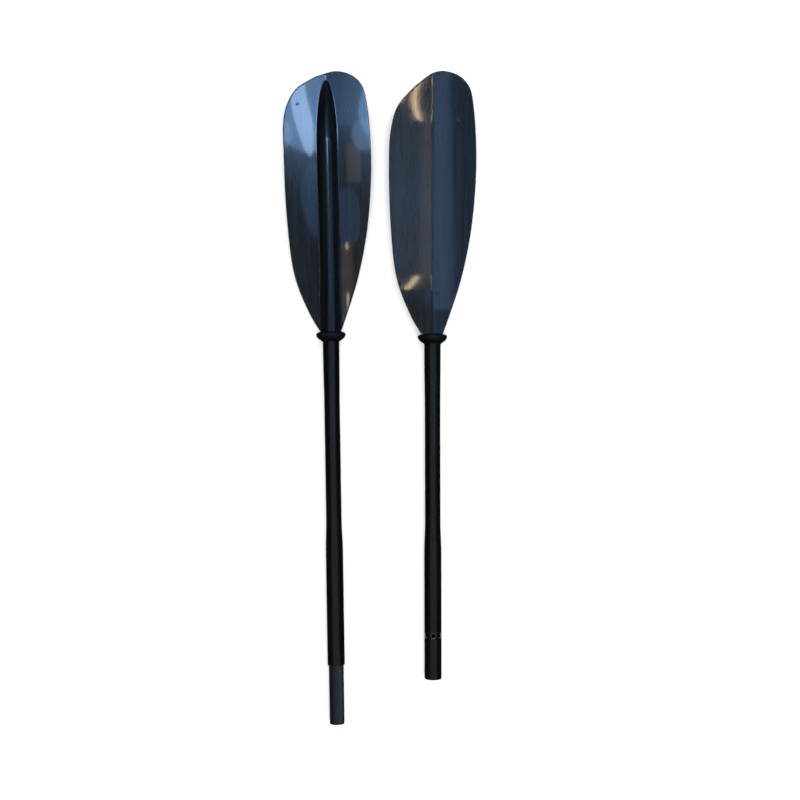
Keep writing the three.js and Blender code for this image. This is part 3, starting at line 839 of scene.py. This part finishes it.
def shaft_loops(length, radius, swell, lip, sides=ROUND_SIDES):
    """Loops of a tube's skin, with lip as (inset, distance from the end) pairs that round its joint end."""
    even = np.linspace(0, length - END_STRETCH, SHAFT_SECTIONS)
    depths = np.concatenate([[-SHAFT_IN_BLADE], even, [length - END_STRETCH / 2]])
    sections = [(d, 0.0) for d in depths] + [(length - gap, inset) for inset, gap in lip]
    loops = []
    for depth, inset in sections[::-1]:
        squeeze = (SHAFT_RADIUS - OVAL_HALF_WIDTH) * (ease(depth, *OVAL_RISE) - ease(depth, *OVAL_FALL))
        deep = radius + swell * ease(depth, *OVAL_FALL) - inset
        wide = deep - squeeze
        loops.append([Vector((wide * math.sin(a), -depth, deep * math.cos(a)))
                      for a in np.linspace(0, 2 * math.pi, sides, endpoint=False)])
    return loops


def tube_body(outer, inner):
    """A tube between two skins with the same number of loops, joined by flat rings at its ends."""
    bm = bmesh.new()
    outer_rows = skin(bm, outer, closed_ends=False)
    inner_rows = skin(bm, inner, closed_ends=False)
    size = len(outer_rows[0])
    for end in (0, -1):
        for k in range(size):
            n = (k + 1) % size
            bm.faces.new((outer_rows[end][k], outer_rows[end][n], inner_rows[end][n], inner_rows[end][k]))
    bmesh.ops.recalc_face_normals(bm, faces=bm.faces)
    return bm


def hole_cutter(height, angle):
    """A drill with a countersink that breaks the hole's edge, pointing out from the power face."""
    near, far = DRILL_REACH
    wide = HOLE_RADIUS + HOLE_CHAMFER
    drill = turned_body([
        (0, near), (HOLE_RADIUS, near), (HOLE_RADIUS, JOINT_RADIUS + CHAMFER_FROM),
        (wide, JOINT_RADIUS + CHAMFER_TO), (wide, far), (0, far),
    ], HOLE_SIDES)
    for face in drill.faces:
        face.material_index = 1
    turn = Matrix.Rotation(math.radians(angle), 4, "Y")
    drill.transform(Matrix.Translation((0, height, 0)) @ turn @ STOOD_UP)
    return drill


def make_shaft(half, material, drilled):
    """A tube that is oval in the grip, and drilled for the button on the female half."""
    length = SHAFT_LENGTH[half]
    lip = [(0.0, TUBE_LIP_STARTS), (0.0, TUBE_LIP), (TUBE_LIP * 0.3, TUBE_LIP * 0.3), (TUBE_LIP, 0.0)]
    inner_lip = [(0.0, gap) for _, gap in lip]
    outer = shaft_loops(length, SHAFT_RADIUS, JOINT_RADIUS - SHAFT_RADIUS, lip)
    inner = shaft_loops(length, SHAFT_BORE, 0.0, inner_lip)
    bm = tube_body(outer, inner)
    if half == "female":
        bm = carve(bm, [hole_cutter(HOLE_FROM_END - length, angle) for angle in FEATHER_ANGLES])
    tube = piece_from(bm, f"{half}_shaft_tube", half, f"{half}_half", material,
                      [f"{half}_shaft"])
    if half == "female":
        tube.data.materials.append(drilled)


def make_ferrule(material, drilled):
    """A plain tube with one hole for the button."""
    foot = -SHAFT_LENGTH["male"] - FERRULE_EXPOSED + CAP_THICKNESS
    head = -SHAFT_LENGTH["male"] + FERRULE_BONDED
    heights = np.linspace(foot, head, FERRULE_SECTIONS)
    sides = np.linspace(0, 2 * math.pi, ROUND_SIDES, endpoint=False)
    outer, inner = [
        [[Vector((r * math.sin(a), y, r * math.cos(a))) for a in sides] for y in heights]
        for r in (FERRULE_RADIUS, FERRULE_BORE)
    ]
    bm = carve(tube_body(outer, inner), [hole_cutter(-SHAFT_LENGTH["male"] - HOLE_FROM_END, 0)])
    tube = piece_from(bm, "ferrule_tube", "male", "male_half", material, ["ferrule"])
    tube.data.materials.append(drilled)


def make_ferrule_cap(material):
    """A round-cornered cap with a shallow dish in its face and a plug that goes into the ferrule."""
    tip = -SHAFT_LENGTH["male"] - FERRULE_EXPOSED
    seat = tip + CAP_THICKNESS - SOCKET_GAP
    turn = np.linspace(0, math.pi / 2, CORNER_POINTS)
    corner = [(FERRULE_RADIUS - CAP_CORNER + CAP_CORNER * math.sin(a),
               tip + CAP_CORNER - CAP_CORNER * math.cos(a)) for a in turn]
    plug = FERRULE_BORE - SOCKET_GAP
    head = seat + CAP_PLUG_LENGTH
    floor, rim = CAP_DISH_RADIUS
    profile = [(0, tip + CAP_DISH_DEPTH), (floor, tip + CAP_DISH_DEPTH), (rim, tip), *corner,
               (FERRULE_RADIUS, seat - CAP_CHAMFER), (FERRULE_RADIUS - CAP_CHAMFER, seat), (plug, seat),
               (plug, head - CAP_PLUG_CHAMFER), (plug - CAP_PLUG_CHAMFER, head), (0, head)]
    return piece_from(turned_body(profile), "ferrule_cap", "male", "male_half", material,
                      ["ferrule_end_plug"])


def make_button(material):
    """A domed pin that stands through the ferrule's wall."""
    turn = np.linspace(0, math.pi / 2, DOME_POINTS)[:-1]
    dome = [(BUTTON_RADIUS * math.cos(a), BUTTON_TIP - BUTTON_DOME + BUTTON_DOME * math.sin(a))
            for a in turn]
    profile = [(0, BUTTON_BASE), (BUTTON_RADIUS - BUTTON_CHAMFER, BUTTON_BASE),
               (BUTTON_RADIUS, BUTTON_BASE + BUTTON_CHAMFER), *dome, (0, BUTTON_TIP)]
    bm = turned_body(profile, BUTTON_SIDES)
    bm.transform(Matrix.Translation((0, -SHAFT_LENGTH["male"] - HOLE_FROM_END, 0)) @ STOOD_UP)
    return piece_from(bm, "button_head", "male", "button", material, ["snap_button"])


def make_button_spring(material):
    """A strip bent into a long narrow V. The leg under the button gives way when the button is pressed."""
    height = SPRING_LEG_HEIGHT - SPRING_THICKNESS / 2
    bend = SPRING_NOSE - SPRING_THICKNESS / 2
    centre = SPRING_AHEAD - SPRING_NOSE
    turn = np.linspace(math.pi / 2, -math.pi / 2, NOSE_POINTS)
    nose = [(centre + bend * math.cos(a), bend * math.sin(a)) for a in turn]
    leg = [(-SPRING_BEHIND, height), (SPRING_BEHIND, height)]
    other_leg = [(y, -z) for y, z in leg[::-1]]
    path = evenly_along(np.array(leg + nose + other_leg), SPRING_SECTIONS)
    along = np.gradient(path, axis=0)
    along /= np.linalg.norm(along, axis=1)[:, None]
    out = np.column_stack([-along[:, 1], along[:, 0]]) * SPRING_THICKNESS / 2
    button_y = -SHAFT_LENGTH["male"] - HOLE_FROM_END
    side = SPRING_WIDTH / 2
    corners = [(-side, 1), (side, 1), (side, -1), (-side, -1)]
    loops = [[Vector((x, button_y + p[0] + face * o[0], p[1] + face * o[1])) for x, face in corners]
             for p, o in zip(path, out)]
    bm = bmesh.new()
    skin(bm, loops)
    bmesh.ops.recalc_face_normals(bm, faces=bm.faces)
    spring = piece_from(bm, "button_spring_strip", "male", None, material, ["button_spring"])
    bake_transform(spring)


def make_drip_ring(half, material):
    """A cup of rubber with a domed top, a thin brim and a collar that grips the shaft."""
    skirt = smooth_through([(16, RING_FOOT), (18.2, -10.9), (21.4, -8.8), (24.5, -6), (26.2, -3.2),
                            (RING_RADIUS, 0), (26.4, 1.8), (24.6, 3.2), (21.4, 4.4), (18.4, RING_TOP)], 8)
    profile = [(RING_BORE + RING_FOOT_CHAMFER, RING_FOOT), *[tuple(p) for p in skirt],
               (RING_BORE + RING_TOP_CHAMFER, RING_TOP), (RING_BORE, RING_TOP - RING_TOP_CHAMFER),
               (RING_BORE, RING_FOOT + RING_FOOT_CHAMFER)]
    return piece_from(turned_body(profile), f"{half}_drip_cup", half, f"{half}_ring", material,
                      [f"{half}_drip_ring"], RING_SHARP_DEGREES)


def finish_hidden_nodes(foam):
    """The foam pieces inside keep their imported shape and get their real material."""
    for name in ("male_blade_core", "female_blade_core", "socket_plug", "male_shaft_end_plug",
                 "female_shaft_end_plug"):
        for slot in frame["nodes"][name].material_slots:
            slot.material = foam


# ---- setting ----

def make_floor(material):
    """A wide board that the paddle lies on. It stays out of the gloss, so that dark tubes keep dark
    sides."""
    bm = bmesh.new()
    bmesh.ops.create_grid(bm, x_segments=24, y_segments=24, size=FLOOR_REACH)
    mesh = bpy.data.meshes.new("floor")
    bm.to_mesh(mesh)
    bm.free()
    floor = bpy.data.objects.new("floor", mesh)
    bpy.context.scene.collection.objects.link(floor)
    mesh.materials.append(material)
    floor.visible_glossy = False


def soft_light(name, at, towards, size, power, colour, turn=0.0, shape="RECTANGLE"):
    """A softbox that the camera doesn't see. Its length lies along y before it is turned."""
    data = bpy.data.lights.new(name, "AREA")
    data.shape = shape
    data.size, data.size_y = size
    data.energy = power
    data.color = linear(colour)[:3]
    lamp = bpy.data.objects.new(name, data)
    bpy.context.scene.collection.objects.link(lamp)
    back = (Vector(at) - Vector(towards)).normalized()
    side = Vector((0, 1, 0)).cross(back).normalized()
    aimed = Matrix((side, back.cross(side), back)).transposed().to_4x4()
    lamp.matrix_world = Matrix.Translation(at) @ aimed @ Matrix.Rotation(math.radians(turn), 4, "Z")
    lamp.visible_camera = False
    return lamp


def flag_off_all_but(lamp, pieces):
    """Flags that stop a lamp from reaching anything but these pieces."""
    reached = bpy.data.collections.new(f"{lamp.name}_reaches")
    for piece in pieces:
        reached.objects.link(piece)
    lamp.light_linking.receiver_collection = reached


def light_the_room():
    """A dim, cool room, behind white paper that only the camera sees."""
    world = bpy.data.worlds.new("studio")
    bpy.context.scene.world = world
    world.use_nodes = True
    tree = world.node_tree
    dim = tree.nodes["Background"]
    dim.inputs["Color"].default_value = linear(ROOM_COLOUR)
    dim.inputs["Strength"].default_value = ROOM_STRENGTH
    paper = add(tree, "ShaderNodeBackground", {"Color": linear(PLAIN_WHITE), "Strength": 1.0})
    seen = add(tree, "ShaderNodeLightPath").outputs["Is Camera Ray"]
    either = add(tree, "ShaderNodeMixShader", {
        0: seen, 1: dim.outputs["Background"], 2: paper.outputs["Background"],
    })
    tree.links.new(either.outputs["Shader"], tree.nodes["World Output"].inputs["Surface"])


def light_the_studio():
    """What the gloss shows hangs from a dim ceiling: a cool window above the tips, weaker cool, warm
    and grey cards, and narrow warm lamps. White softboxes light the floor and the colours."""
    light_the_room()
    for layer, (name, x, y, size, power, colour, turn, shape) in enumerate(CEILING_LIGHTS):
        height = CEILING - LAYER_GAP * layer
        lamp = soft_light(name, (x, y, height), (x, y, 0), size, power, colour, turn, shape)
        lamp.visible_diffuse = False
        if name == "warm_tube":
            flag_off_all_but(lamp, [bpy.data.objects["female_blade_moulding"]])
    side_card = soft_light(*SIDE_CARD)
    side_card.visible_diffuse = False
    flag_off_all_but(side_card, [bpy.data.objects["ferrule_tube"], bpy.data.objects["ferrule_cap"]])
    fills = [soft_light("overhead_fill", (0, 0, OVERHEAD_HEIGHT), (0, 0, 0), OVERHEAD_SIZE,
                        OVERHEAD_WATTS, PLAIN_WHITE)]
    for x, y, power in SIDE_FILLS:
        aim = (x * SIDE_FILL_AIM, y * SIDE_FILL_AIM, 0)
        at = (x, y, SIDE_FILL_HEIGHT)
        fills.append(soft_light("side_fill", at, aim, SIDE_FILL_SIZE, power, PLAIN_WHITE))
    for lamp in fills:
        lamp.visible_glossy = False


def set_the_camera():
    """Looks straight down, as the halves are seen from above, from the height that gives the shafts
    their slight spread."""
    low, high = cad_box
    data = bpy.data.cameras.new("camera")
    data.sensor_width = SENSOR
    data.lens = LENS
    camera = bpy.data.objects.new("camera", data)
    bpy.context.scene.collection.objects.link(camera)
    centre = (Vector(low) + Vector(high)) / 2
    camera.location = centre + Vector(CAMERA_FROM_MIDDLE)
    camera.rotation_euler = (0, 0, 0)
    data.clip_end = CLIP_END
    bpy.context.scene.camera = camera
    bpy.context.scene.view_settings.view_transform = "Standard"


def build():
    """Makes every piece, then the floor, the lights and the camera."""
    nylon = moulded_nylon()
    tube = wound_tube()
    drilled = cut_composite_with_painted_highlight()
    rubber = moulded_rubber()
    steel = stamped_steel()
    for half in ("male", "female"):
        make_blade(half, nylon)
        make_shaft(half, tube, drilled)
        make_drip_ring(half, rubber)
    make_ferrule(sanded_composite(), drilled)
    make_ferrule_cap(moulded_cap_plastic())
    make_button(steel)
    make_button_spring(steel)
    finish_hidden_nodes(closed_cell_foam())
    make_floor(painted_board())
    light_the_studio()
    set_the_camera()


build()
